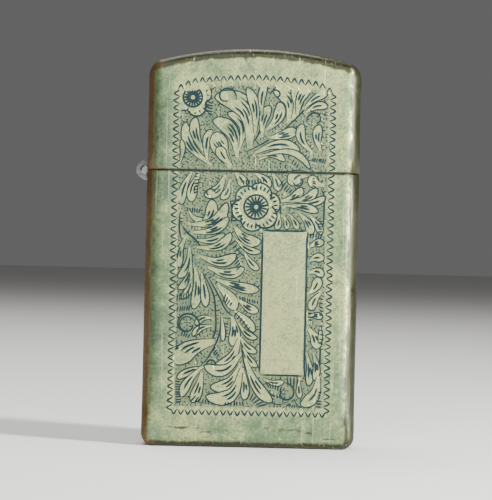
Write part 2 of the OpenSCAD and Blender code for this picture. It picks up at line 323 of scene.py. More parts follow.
def groove_depth(points, cuts):
    """How deep each point lies in the V of the deepest cut over it, in millimetres."""
    cell = 0.6
    deepest = 0.064
    homes = {}
    for line, widths in cuts:
        for a, b, wa, wb in zip(line, line[1:], widths, widths[1:]):
            r = max(wa, wb) / 2
            for i in range(int((min(a[0], b[0]) - r) // cell), int((max(a[0], b[0]) + r) // cell) + 1):
                for k in range(int((min(a[1], b[1]) - r) // cell), int((max(a[1], b[1]) + r) // cell) + 1):
                    homes.setdefault((i, k), []).append((*a, *b, wa, wb))
    p = np.asarray(points, float)
    depth = np.zeros(len(p))
    keys = np.floor(p / cell).astype(int)
    order = np.lexsort((keys[:, 1], keys[:, 0]))
    ends = np.flatnonzero(np.any(np.diff(keys[order], axis=0), axis=1)) + 1
    for group in np.split(order, ends):
        near = homes.get(tuple(keys[group[0]]))
        if not near:
            continue
        s = np.array(near)
        a, ab = s[:, 0:2], s[:, 2:4] - s[:, 0:2]
        q = p[group][:, None, :] - a[None]
        t = np.clip((q * ab).sum(2) / np.maximum((ab * ab).sum(1), 1e-9), 0, 1)
        away = np.linalg.norm(q - t[..., None] * ab, axis=2)
        wide = s[:, 4] + (s[:, 5] - s[:, 4]) * t
        depth[group] = (np.minimum(0.27 * wide, deepest) * (1 - away / (wide / 2))).max(1).clip(0)
    return depth


def engraved_flat(outline, cuts, inside):
    """Triangles of a flat face with V-shaped cuts: (points, depths, triangles, whether each is in a cut)."""
    verts = [Vector(p) for p in outline]
    edges = [(i, (i + 1) % len(outline)) for i in range(len(outline))]
    for line, widths in cuts:
        if not any(inside(p) for p in line):
            continue
        line = [np.array(p, float) for p in line]
        first = len(verts)
        verts.append(Vector(line[0]))
        tracks = [[first], [first], [first]]
        for i in range(1, len(line) - 1):
            d = line[i + 1] - line[i - 1]
            side = np.array([-d[1], d[0]]) / max(1e-9, np.linalg.norm(d)) * widths[i] / 2
            for track, offset in zip(tracks, (side, 0 * side, -side)):
                track.append(len(verts))
                verts.append(Vector(line[i] + offset))
        last = len(verts)
        verts.append(Vector(line[-1]))
        for track in tracks:
            track.append(last)
            edges.extend(zip(track, track[1:]))
    found = delaunay_2d_cdt(verts, edges, [], 1, 1e-4)
    points = np.array([tuple(v) for v in found[0]])
    tris = [t for t in found[2] if inside(points[list(t)].mean(0))]
    used = sorted({i for t in tris for i in t})
    new = {old: i for i, old in enumerate(used)}
    points = points[used]
    tris = [[new[i] for i in t] for t in tris]
    depth = groove_depth(points, cuts)
    middles = np.array([points[t].mean(0) for t in tris])
    return points, depth, tris, groove_depth(middles, cuts) > 0.002


# ---------------------------------------------------------------- the two drawn shells

def smooth_step(t):
    t = max(0.0, min(1.0, t))
    return t * t * (3 - 2 * t)


def case_stations(rim):
    """Places round the case's front outline, rim to rim: x, z, outward normal and edge radius."""
    run = []
    for z in [rim, 34, 28, 21, 14, 9, 7, 6, 5, 4, 3, 2.4]:
        e = FOOT_EDGE + (SIDE_EDGE - FOOT_EDGE) * smooth_step((z - FOOT_R - 0.4) / 5.5)
        run.append((-HALF_W, z, -1, 0, e))
    for i in range(10):
        a = math.radians(180 + 90 * i / 9)
        e = FOOT_EDGE + (END_EDGE - FOOT_EDGE) * i / 9
        run.append((FOOT_R - HALF_W + FOOT_R * math.cos(a), FOOT_R + FOOT_R * math.sin(a),
                    math.cos(a), math.sin(a), e))
    run += [(x, 0, 0, -1, END_EDGE) for x in (-10, -6, -2)]
    return run + [(-x, z, -nx, nz, e) for x, z, nx, nz, e in run[::-1]]


def lid_stations(rim):
    """Places round the lid's front outline, rim to rim, by the right side, the crown and the left side."""
    sx = HALF_W - SHOULDER_R
    tilt = math.asin(sx / (CROWN_R - SHOULDER_R))
    centre_z = TOP - CROWN_R
    sz = centre_z + (CROWN_R - SHOULDER_R) * math.cos(tilt)
    run = [(HALF_W, z, 1, 0, SIDE_EDGE) for z in [rim, 42, 45, 48, 50, 51.5]]
    for i in range(13):
        a = (math.pi / 2 - tilt) * i / 12
        e = SIDE_EDGE + (END_EDGE - SIDE_EDGE) * smooth_step(i / 12)
        nx, nz = math.cos(a), math.sin(a)
        run.append((sx + SHOULDER_R * nx, sz + SHOULDER_R * nz, nx, nz, e))
    for i in range(1, 12):
        a = math.pi / 2 - tilt + tilt * i / 12
        nx, nz = math.cos(a), math.sin(a)
        run.append((CROWN_R * nx, centre_z + CROWN_R * nz, nx, nz, END_EDGE))
    return run + [(0, TOP, 0, 1, END_EDGE)] + [(-x, z, -nx, nz, e) for x, z, nx, nz, e in run[::-1]]


def section(station, inset):
    """Points of the wall at a station, from the front face round the edge to the back face."""
    x, z, nx, nz, e = station
    e, h = e - inset, HALF_D - inset
    rows = [(e + FLAT_MARGIN, -h)]
    for i in range(EDGE_STEPS + 1):
        a = math.pi / 2 * (1 - i / EDGE_STEPS)
        rows.append((e * (1 - math.cos(a)), -(h - e) - e * math.sin(a)))
    rows += [(r, -y) for r, y in rows[::-1]]
    return [(x - nx * (inset + r), y, z - nz * (inset + r)) for r, y in rows]


def shell(name, stations, rim, up, cuts, ground, materials):
    """One closed shell of drawn sheet: rounded outside, engraved front, chamfered rim and hollow inside."""
    edge_z = rim - up * RIM_CHAMFER
    outer = [section(s, 0) for s in stations(edge_z)]
    inner = [section(s, WALL) for s in stations(rim)]
    run = stations(rim)
    lips = [section(run[0], RIM_CHAMFER), section(run[-1], RIM_CHAMFER)]
    verts, faces, slots = [], [], []

    def put(points):
        first = len(verts)
        verts.extend(points)
        return list(range(first, first + len(points)))

    def face(corners, slot=0):
        faces.append(corners)
        slots.append(slot)

    def strip(a, b):
        for p, q, r, s in zip(a, a[1:], b[1:], b):
            face([p, q, r, s])

    out, into, lip = [put(p) for p in outer], [put(p) for p in inner], [put(p) for p in lips]
    for rings in (out, into):
        for a, b in zip(rings, rings[1:]):
            strip(a, b)
    for k, end in ((0, 0), (1, -1)):
        strip(out[end], lip[k])
        strip(lip[k], into[end])

    outline = [(p[0][0], p[0][2]) for p in outer]
    points, depth, tris, in_cut = engraved_flat(outline, cuts, lambda p: (p[1] - edge_z) * up < -1e-6)
    known = {(round(p[0], 3), round(p[1], 3)): ring[0] for p, ring in zip(outline, out)}
    index = []
    for p, d in zip(points, depth):
        key = (round(p[0], 3), round(p[1], 3))
        index.append(known[key] if key in known else put([(p[0], d - HALF_D, p[1])])[0])
    for t, dark in zip(tris, in_cut):
        face([index[i] for i in t], 1 if dark else 0)
    at_rim = sorted((p[0], i) for p, i in zip(points, index) if abs(p[1] - edge_z) < 1e-4)
    if at_rim[0][0] * outline[0][0] < 0:
        at_rim.reverse()
    xs = [x for x, i in at_rim[1:-1]]
    edge = [i for x, i in at_rim]
    lip_line = [lip[0][0]] + put([(x, RIM_CHAMFER - HALF_D, rim) for x in xs]) + [lip[1][0]]
    in_line = [into[0][0]] + put([(x, WALL - HALF_D, rim) for x in xs]) + [into[-1][0]]
    strip(edge, lip_line)
    strip(lip_line, in_line)
    face([r[0] for r in into] + in_line[1:-1][::-1])
    strip([out[0][-1], out[-1][-1]], [lip[0][-1], lip[1][-1]])
    strip([lip[0][-1], lip[1][-1]], [into[0][-1], into[-1][-1]])
    face([r[-1] for r in out])
    face([r[-1] for r in into])

    thing = mesh_object(name, verts, faces, materials, True, slots)
    bm = bmesh.new()
    bm.from_mesh(thing.data)
    bmesh.ops.recalc_face_normals(bm, faces=bm.faces)
    for f in bm.faces:
        at_edge = abs(f.calc_center_median().z / MM - rim) < RIM_CHAMFER
        f.smooth = len(f.verts) == 4 and not at_edge
    rub = bm.verts.layers.float.new("rub")
    for v in bm.verts:
        v[rub] = 0.0
    low = bm.verts.layers.float.new("ground")
    bm.verts.ensure_lookup_table()
    for i, share in zip(index, ground(points)):
        bm.verts[i][low] = float(share)
    for ring, station in zip(out, stations(edge_z)):
        for j, i in enumerate(ring):
            k = min(j, len(ring) - 1 - j) - 1
            bm.verts[i][rub] = math.sin(math.pi * max(0, min(1, k / EDGE_STEPS)))
    bm.to_mesh(thing.data)
    bm.free()
    cut(thing, cylinder_cutter(NOTCH_R, 2 * NOTCH_HALF, HINGE_AT))
    return thing


# ---------------------------------------------------------------- the engraved pattern

def wave_border(e):
    """The toothed wave that frames the pattern: straight sides and foot, and a top that follows the crown."""
    pitch = 1.0
    half = 11.0
    foot, crown = 5.0, TOP - 4.2

    def top(x):
        return crown - CROWN_R + math.sqrt(CROWN_R ** 2 - x * x) - 0.25 * max(0, abs(x) - 9) ** 1.5

    for side in (-1, 1):
        n = int((top(half) - foot) / pitch)
        step = (top(half) - foot) / n
        for i in range(n):
            z = foot + step * (i + 0.5)
            x = half + e.chance.uniform(-0.05, 0.05)
            e.cut([(side * (x - 0.42), z - step * 0.42), (side * (x + 0.12), z - step * 0.22),
                   (side * (x + 0.45), z), (side * (x + 0.12), z + step * 0.2),
                   (side * (x - 0.42), z + step * 0.5)], 0.24, 0.6, 0.6, 0.22)
    n = int(2 * half / pitch)
    for i in range(n):
        x = -half + 2 * half * (i + 0.5) / n
        w = half / n
        for level, way in ((foot, -1), (top(x), 1)):
            z = level + e.chance.uniform(-0.05, 0.05)
            e.cut([(x - w * 0.9, z - way * 0.36), (x - w * 0.4, z + way * 0.1), (x, z + way * 0.42),
                   (x + w * 0.4, z + way * 0.1), (x + w * 0.9, z - way * 0.36)], 0.24, 0.6, 0.6, 0.22)


def name_panel(e):
    """A plain panel left bare, with a fine rule round it."""
    x0, x1, z0, z1 = 1.5, 7.8, 10.4, 30.8
    corners = [(x0, z0), (x1, z0), (x1, z1), (x0, z1)]
    e.cover(corners)
    for a, b in zip(corners, corners[1:] + corners[:1]):
        e.cut([a, b], 0.3, 1, 1, 1.2)


def flower(e, centre, r, petals, ticks):
    """A hatched button inside a ring of petals."""
    outer = r * 1.95
    for i in range(petals):
        a = math.radians(360 * i / petals + 90 / petals)
        at = (centre[0] + outer * 0.55 * math.cos(a), centre[1] + outer * 0.55 * math.sin(a))
        e.cover(circle(at, outer * 0.5))
        e.ring(at, outer * 0.5, 0.26)
    e.cover(circle(centre, r * 1.25))
    e.spokes(centre, r * 1.42, r * 1.85, ticks, 0.26)
    e.ring(centre, r, 0.3)
    e.ring(centre, 0.4, 0.2)
    e.spokes(centre, 0.5, r * 0.95, 17, 0.3)


# Leaves as base, tip, bend, width and number of shading cuts, in millimetres from the middle of the base.
LID_LEAVES = [
    ((-6.0, 39.9), (-9.7, 45.9), 1.3, 1.5, 2), ((-7.0, 41.6), (-8.3, 46.6), 0.7, 1.5, 2),
    ((-6.6, 40.6), (-6.0, 44.9), 0.5, 1.3, 1), ((-3.2, 39.6), (-5.2, 44.6), 0.5, 2.6, 0),
    ((-3.3, 40.0), (-4.9, 42.6), 0.3, 1.6, 1), ((-2.3, 41.0), (-5.9, 46.2), -1.5, 2.1, 3),
    ((-2.0, 42.4), (-3.9, 47.3), -1.6, 1.4, 1), ((-0.6, 42.4), (-5.7, 49.5), -2.9, 3.0, 4),
    ((0.1, 44.4), (-1.2, 50.9), -0.7, 1.5, 2), ((1.1, 44.2), (2.2, 48.4), 0.5, 1.5, 2),
    ((1.6, 44.9), (3.4, 49.0), -0.9, 1.7, 2), ((1.0, 47.0), (1.5, 51.6), 0.4, 1.2, 1),
    ((4.8, 46.2), (2.5, 50.6), -1.8, 2.4, 3), ((5.4, 46.6), (5.2, 51.3), -0.9, 1.8, 2),
    ((6.0, 47.2), (8.0, 51.2), 0.8, 1.5, 2), ((7.0, 48.2), (10.2, 50.2), 0.5, 1.1, 1),
    ((7.2, 47.6), (10.3, 48.4), 0.6, 1.2, 1), ((2.2, 43.9), (6.0, 45.2), -0.2, 1.6, 3),
    ((0.0, 41.7), (6.5, 42.0), 1.3, 1.5, 1), ((0.6, 40.8), (4.4, 40.6), 1.0, 1.1, 2),
    ((1.0, 41.4), (8.0, 39.6), 1.8, 1.0, 0), ((8.2, 42.0), (6.9, 46.0), 1.0, 1.4, 1),
    ((9.4, 42.2), (9.3, 45.9), 0.5, 1.4, 2), ((-10.4, 40.0), (-10.3, 43.4), -0.3, 0.8, 0),
]
UPPER_LEAVES = [
    ((-8.7, 38.9), (-10.0, 34.2), -0.5, 1.3, 1), ((-7.6, 38.8), (-8.6, 34.6), -0.4, 1.5, 2),
    ((-4.0, 38.5), (-6.9, 35.7), 0.9, 1.6, 2), ((-3.4, 37.6), (-4.6, 35.2), 0.5, 1.2, 1),
    ((-9.0, 33.3), (-6.8, 32.2), -0.6, 0.9, 0), ((-7.5, 31.0), (-5.9, 35.0), -0.8, 1.7, 2),
    ((-8.8, 31.4), (-3.7, 34.6), -1.5, 1.6, 3), ((-8.4, 30.3), (-3.4, 32.6), -1.0, 1.3, 2),
    ((-7.9, 29.3), (-3.9, 30.3), -0.7, 1.1, 1), ((-2.6, 39.0), (-1.2, 36.9), 0.2, 1.6, 1),
    ((0.2, 38.9), (2.3, 36.8), 0.4, 1.3, 1), ((2.7, 39.0), (3.6, 36.4), 0.2, 1.3, 1),
    ((7.8, 38.9), (5.6, 37.2), -0.8, 2.2, 1), ((10.0, 37.4), (8.5, 38.8), 0.8, 1.7, 0),
    ((4.0, 35.0), (6.9, 37.0), -0.6, 1.4, 2), ((5.6, 35.1), (9.0, 37.0), -0.7, 1.3, 2),
    ((6.6, 34.8), (10.2, 35.8), -0.5, 1.1, 1), ((4.6, 34.4), (9.3, 33.6), 0.3, 1.2, 2),
    ((6.6, 33.4), (8.3, 30.3), 0.5, 1.3, 2), ((8.0, 33.2), (9.7, 30.4), 0.4, 1.1, 1),
    ((3.7, 33.2), (3.3, 31.0), 0.3, 1.0, 1), ((4.4, 33.0), (4.9, 31.0), 0.2, 0.9, 1),
    ((5.3, 33.1), (6.4, 31.0), 0.2, 1.0, 1),
]
MIDDLE_LEAVES = [
    ((-7.8, 28.2), (-3.0, 30.4), -1.2, 1.4, 2), ((-7.3, 27.0), (-2.2, 27.4), -1.1, 1.6, 2),
    ((-6.2, 25.5), (-1.0, 25.5), -1.0, 1.5, 2), ((-5.0, 23.8), (1.2, 22.4), -0.3, 1.5, 3),
    ((-2.6, 31.4), (1.3, 29.3), -0.9, 1.7, 3), ((-2.4, 29.6), (1.3, 27.8), -0.6, 1.0, 1),
    ((-1.0, 27.6), (1.1, 25.3), -0.3, 1.1, 1), ((-9.4, 29.6), (-10.1, 25.3), -0.5, 1.3, 2),
    ((-8.8, 28.4), (-10.4, 23.9), 0.9, 1.3, 1), ((-8.5, 26.2), (-10.3, 22.3), 0.8, 1.2, 2),
    ((-8.4, 24.4), (-10.0, 21.0), 0.7, 1.1, 1), ((-7.9, 25.4), (-8.1, 19.5), 0.5, 1.5, 2),
    ((-7.0, 24.6), (-6.3, 19.8), 0.1, 1.3, 1), ((-4.6, 22.9), (-2.3, 19.4), 0.5, 1.9, 0),
    ((-1.8, 21.2), (1.2, 19.4), -0.4, 1.3, 2), ((-2.2, 19.4), (0.6, 16.4), 0.4, 1.2, 0),
    ((-1.6, 17.6), (1.1, 15.6), -0.5, 1.0, 1), ((-1.4, 15.9), (1.1, 13.6), -0.5, 1.1, 1),
    ((-0.9, 14.2), (1.2, 11.5), -0.3, 1.0, 1),
]
LOWER_LEAVES = [
    ((-5.3, 18.3), (-7.6, 17.2), -0.6, 1.0, 1), ((-5.2, 17.2), (-8.0, 15.6), -0.6, 1.0, 1),
    ((-5.0, 15.0), (-10.3, 11.6), -0.9, 2.8, 3), ((-6.2, 11.4), (-10.1, 9.6), -0.3, 1.1, 1),
    ((-6.8, 11.2), (-9.4, 7.0), -0.5, 1.4, 1), ((-6.6, 10.6), (-8.0, 6.3), 0.3, 1.6, 2),
    ((-2.6, 18.6), (-2.6, 14.4), 0.6, 1.7, 3), ((-4.0, 18.6), (-3.8, 15.0), 0.1, 0.8, 0),
    ((-1.4, 15.6), (-5.0, 11.4), 1.2, 1.7, 2), ((-1.1, 13.4), (-6.3, 11.6), 1.7, 1.7, 1),
    ((-1.2, 11.8), (-5.4, 8.6), 1.3, 1.7, 2), ((-0.9, 11.4), (-6.0, 7.2), 2.3, 2.0, 2),
    ((-0.7, 10.8), (-0.6, 6.8), 0.2, 1.3, 2), ((-0.5, 12.4), (3.4, 6.6), -0.7, 1.7, 2),
    ((2.0, 9.9), (5.0, 9.6), -0.5, 0.9, 1), ((8.1, 13.6), (8.4, 9.0), 0.4, 1.2, 2),
    ((9.0, 13.8), (9.2, 9.8), 0.5, 1.1, 2), ((7.2, 9.9), (7.4, 7.2), -0.2, 0.9, 1),
    ((9.9, 10.4), (7.4, 6.3), 1.0, 1.8, 1),
]
EDGE_LEAVES = [
    ((8.1, 28.6), (10.2, 29.2), 0.3, 1.2, 2), ((8.1, 26.6), (10.2, 26.8), 0.5, 1.4, 1),
    ((8.1, 25.0), (10.1, 24.4), 0.6, 1.3, 1), ((8.1, 22.0), (9.4, 24.4), -0.5, 1.5, 1),
    ((9.9, 22.2), (8.7, 19.6), -0.4, 1.3, 1), ((8.1, 18.8), (10.2, 18.6), 0.3, 1.0, 2),
    ((8.2, 17.2), (9.4, 14.2), 0.5, 1.6, 2), ((9.9, 17.8), (9.9, 15.0), 0.1, 0.7, 0),
]
STEMS = [
    [(1.0, 51.6), (1.1, 48.0), (0.9, 45.4), (0.2, 43.7), (-0.7, 42.4)],
    [(-1.2, 41.8), (1.4, 43.2), (4.0, 45.0), (6.0, 46.9), (7.8, 48.7), (10.2, 49.3)],
    [(-1.0, 41.0), (1.6, 42.6), (4.4, 42.9), (6.2, 42.0), (7.5, 39.8)],
    [(-10.2, 33.4), (-10.3, 31.0), (-9.9, 29.0)],
    [(-10.3, 32.0), (-9.3, 30.4), (-7.8, 29.1), (-6.8, 27.4)],
    [(-7.0, 24.9), (-6.2, 23.6), (-5.2, 21.4), (-4.9, 19.0), (-4.9, 16.4), (-6.0, 14.4), (-8.2, 14.0)],
    [(-6.1, 24.2), (-4.6, 21.6), (-3.4, 19.4), (-1.9, 18.2)],
    [(-4.1, 18.8), (-4.2, 16.6), (-4.8, 14.6), (-6.0, 12.4), (-6.9, 11.6)],
    [(-1.9, 17.4), (-1.2, 15.6), (-1.0, 13.6), (-0.6, 11.6), (0.4, 9.2), (2.0, 7.2), (4.2, 6.3), (5.9, 6.8)],
    [(-3.0, 31.6), (-2.9, 33.4), (-3.2, 35.0)],
    [(-2.4, 28.6), (-1.6, 27.6), (-0.4, 26.6), (0.3, 25.2), (1.3, 25.6)],
    [(3.6, 35.0), (4.0, 33.9), (3.6, 32.8), (2.2, 31.2)],
    [(10.0, 31.0), (10.1, 33.4), (10.0, 36.0), (9.4, 37.2)],
    [(9.9, 10.2), (10.0, 13.6), (9.8, 17.0)],
    [(6.4, 7.2), (7.2, 6.0), (8.6, 5.9), (9.8, 7.4), (10.1, 9.6)],
]


def foliage(e):
    """Leaf scrolls, stems, curls and the small fillings between them."""
    for stem in STEMS:
        e.cut(stem, 0.26, 0.4, 0.4)
    for leaf in LID_LEAVES + UPPER_LEAVES + MIDDLE_LEAVES + LOWER_LEAVES + EDGE_LEAVES:
        e.leaf(*leaf)
    e.curl((-4.1, 49.6), 1.5, -20, 330)
    e.curl((3.0, 50.0), 0.9, 180, -250)
    e.curl((8.6, 46.6), 1.3, 200, -280)
    e.curl((-8.9, 17.3), 1.9, -60, 420, 0.8)
    e.curl((-8.9, 17.3), 1.15, 0, 350, 0.9, 0.2)
    e.curl((-5.2, 11.7), 0.9, 200, -230)
    e.curl((5.2, 7.9), 1.5, 100, -330)
    e.curl((-6.1, 35.9), 0.8, 0, 250)
    e.curl((6.5, 37.9), 0.9, 180, 260)
    for a, b, n in (
        ([(-6.9, 50.9), (-6.6, 49.2), (-7.3, 47.6), (-9.0, 46.9)],
         [(-6.2, 50.9), (-6.0, 49.0), (-6.8, 47.1), (-8.9, 46.4)], 9),
        ([(-6.8, 48.6), (-6.7, 46.9)], [(-5.8, 48.4), (-5.9, 46.8)], 4),
        ([(-5.9, 43.0), (-4.6, 43.6)], [(-5.2, 42.2), (-4.0, 42.9)], 4),
        ([(8.6, 50.9), (10.4, 50.3)], [(9.0, 51.6), (10.7, 50.9)], 6),
        ([(7.9, 47.7), (10.0, 47.2)], [(7.7, 48.1), (10.1, 47.6)], 7),
        ([(8.1, 40.7), (10.2, 40.4)], [(8.4, 41.3), (10.4, 41.2)], 7),
        ([(5.2, 40.4), (6.2, 39.6)], [(5.6, 41.2), (6.6, 40.2)], 3),
        ([(-9.4, 34.0), (-7.2, 33.8)], [(-9.2, 33.2), (-7.4, 33.0)], 6),
        ([(-8.3, 38.8), (-8.4, 35.6)], [(-7.7, 38.8), (-7.8, 35.8)], 7),
        ([(-3.2, 35.0), (-3.0, 31.8)], [(-2.4, 35.2), (-2.1, 31.8)], 7),
        ([(-1.6, 37.2), (1.8, 37.6)], [(-1.4, 37.9), (1.6, 38.2)], 8),
        ([(3.4, 37.0), (5.2, 36.0)], [(4.2, 38.2), (5.8, 36.6)], 5),
        ([(8.3, 37.2), (8.4, 38.6)], [(9.0, 37.0), (8.9, 38.4)], 4),
        ([(9.2, 32.4), (9.3, 30.6)], [(10.0, 32.4), (10.0, 30.6)], 5),
        ([(8.1, 29.8), (9.9, 29.9)], [(8.2, 30.6), (10.1, 30.6)], 5),
        ([(-2.4, 29.6), (-1.2, 27.4)], [(-3.2, 28.8), (-2.0, 26.9)], 4),
        ([(-1.9, 27.2), (-1.2, 25.6)], [(-2.6, 26.4), (-2.0, 25.0)], 4),
        ([(-3.6, 22.0), (-2.3, 20.4)], [(-4.0, 20.6), (-2.8, 19.9)], 4),
        ([(-1.6, 21.6), (1.2, 20.9)], [(-1.6, 20.8), (1.2, 20.3)], 8),
        ([(-1.9, 19.4), (0.3, 17.0)], [(-2.4, 18.7), (-0.2, 16.4)], 6),
        ([(-10.4, 21.6), (-8.6, 21.9)], [(-10.5, 20.4), (-8.6, 20.9)], 6),
        ([(-10.3, 19.9), (-8.4, 20.0)], [(-10.5, 19.0), (-8.5, 19.2)], 6),
        ([(-9.6, 16.4), (-8.2, 16.0)], [(-9.8, 15.6), (-8.6, 15.2)], 4),
        ([(-10.9, 15.4), (-10.4, 13.4)], [(-10.2, 15.0), (-9.8, 13.8)], 4),
        ([(-3.6, 17.8), (-3.4, 15.4)], [(-3.0, 17.6), (-3.0, 15.4)], 5),
        ([(-5.4, 13.6), (-4.6, 12.4)], [(-4.8, 14.2), (-4.0, 13.2)], 4),
        ([(-10.6, 9.4), (-10.5, 6.0)], [(-9.6, 9.2), (-9.3, 6.2)], 9),
        ([(-8.4, 6.4), (-4.6, 5.9)], [(-7.4, 7.4), (-5.2, 6.4)], 7),
        ([(-3.6, 5.9), (-0.4, 5.9)], [(-3.2, 6.5), (-0.6, 6.7)], 7),
        ([(0.0, 8.4), (3.0, 6.0)], [(-0.2, 7.0), (1.4, 5.8)], 6),
        ([(5.0, 5.8), (7.2, 5.6)], [(5.8, 6.6), (7.0, 6.2)], 5),
        ([(2.2, 9.6), (5.0, 8.8)], [(2.8, 8.6), (4.6, 8.0)], 6),
        ([(2.9, 8.0), (5.0, 7.4)], [(3.4, 7.4), (5.0, 6.9)], 5),
        ([(5.2, 10.3), (7.2, 10.2)], [(5.4, 8.8), (7.0, 8.6)], 4),
        ([(9.8, 8.4), (9.4, 5.8)], [(10.6, 8.0), (10.4, 5.8)], 6),
        ([(8.1, 20.0), (8.2, 18.0)], [(8.9, 19.8), (9.0, 18.0)], 4),
        ([(9.6, 21.6), (9.8, 18.8)], [(10.3, 21.4), (10.4, 18.6)], 5),
        ([(9.9, 14.8), (9.8, 17.8)], [(10.5, 14.6), (10.4, 17.8)], 5),
    ):
        e.rungs(a, b, n)


# ---------------------------------------------------------------- finishes

class Finish:
    """A material being wired up: each call adds a node and returns its output."""

    def __init__(self, name):
        self.material = bpy.data.materials.new(name)
        self.material.use_nodes = True
        self.nodes = self.material.node_tree.nodes
        self.links = self.material.node_tree.links
        self.shader = self.nodes["Principled BSDF"]
        self.place = self.nodes.new("ShaderNodeTexCoord").outputs["Object"]

    def wire(self, value, socket):
        if isinstance(value, (int, float)):
            socket.default_value = value
        elif isinstance(value, (tuple, list)):
            socket.default_value = (*value, 1.0)[:len(socket.default_value)]
        else:
            self.links.new(value, socket)

    def math(self, kind, a, b=0.0, clamp=False):
        n = self.nodes.new("ShaderNodeMath")
        n.operation = kind
        n.use_clamp = clamp
        self.wire(a, n.inputs[0])
        self.wire(b, n.inputs[1])
        return n.outputs[0]

    def scaled(self, scale, turn=(0, 0, 0)):
        """Object coordinates stretched by a factor along each axis, after a turn."""
        n = self.nodes.new("ShaderNodeMapping")
        n.inputs["Rotation"].default_value = turn
        n.inputs["Scale"].default_value = scale
        self.links.new(self.place, n.inputs["Vector"])
        return n.outputs[0]

    def axis(self, name):
        n = self.nodes.new("ShaderNodeSeparateXYZ")
        self.links.new(self.place, n.inputs[0])
        return n.outputs[name]

    def noise(self, scale, detail=4.0, roughness=0.55, vector=None, distortion=0.0):
        n = self.nodes.new("ShaderNodeTexNoise")
        n.inputs["Scale"].default_value = scale
        n.inputs["Detail"].default_value = detail
        n.inputs["Roughness"].default_value = roughness
        n.inputs["Distortion"].default_value = distortion
        self.links.new(vector or self.place, n.inputs["Vector"])
        return n.outputs["Fac"]

    def cells(self, scale, feature="F1", vector=None):
        n = self.nodes.new("ShaderNodeTexVoronoi")
        n.feature = feature
        n.inputs["Scale"].default_value = scale
        self.links.new(vector or self.place, n.inputs["Vector"])
        return n.outputs["Distance"]

    def between(self, value, low, high, to_low=0.0, to_high=1.0):
        """A value mapped smoothly from one range onto another."""
        n = self.nodes.new("ShaderNodeMapRange")
        n.interpolation_type = "SMOOTHSTEP"
        self.wire(value, n.inputs["Value"])
        for socket, v in zip(("From Min", "From Max", "To Min", "To Max"), (low, high, to_low, to_high)):
            n.inputs[socket].default_value = v
        return n.outputs["Result"]

    def mix(self, share, a, b):
        n = self.nodes.new("ShaderNodeMix")
        n.data_type = "RGBA"
        self.wire(share, n.inputs[0])
        self.wire(a, n.inputs[6])
        self.wire(b, n.inputs[7])
        return n.outputs[2]

    def attribute(self, name):
        n = self.nodes.new("ShaderNodeAttribute")
        n.attribute_name = name
        return n.outputs["Fac"]

    def bump(self, height, distance, strength=1.0, normal=None):
        n = self.nodes.new("ShaderNodeBump")
        n.inputs["Strength"].default_value = strength
        n.inputs["Distance"].default_value = distance
        self.links.new(height, n.inputs["Height"])
        if normal is not None:
            self.links.new(normal, n.inputs["Normal"])
        return n.outputs[0]

    def scratches(self, turns, across=2600, along=70, thin=0.70):
        """Fine straight scratches in several directions on the faces that look along Y: 1 in a scratch."""
        found = None
        for turn in turns:
            place = self.scaled((across, across, along), (0, turn, 0))
            line = self.between(self.noise(1.0, 1.0, 0.4, place), thin, thin + 0.05)
            found = line if found is None else self.math("MAXIMUM", found, line)
        return found

    def finish(self, colour, roughness, metallic=1.0, normal=None, **plain):
        self.wire(colour, self.shader.inputs["Base Color"])
        self.wire(roughness, self.shader.inputs["Roughness"])
        self.wire(metallic, self.shader.inputs["Metallic"])
        if normal is not None:
            self.links.new(normal, self.shader.inputs["Normal"])
        for name, value in plain.items():
            self.shader.inputs[name.replace("_", " ")].default_value = value
        return self.material


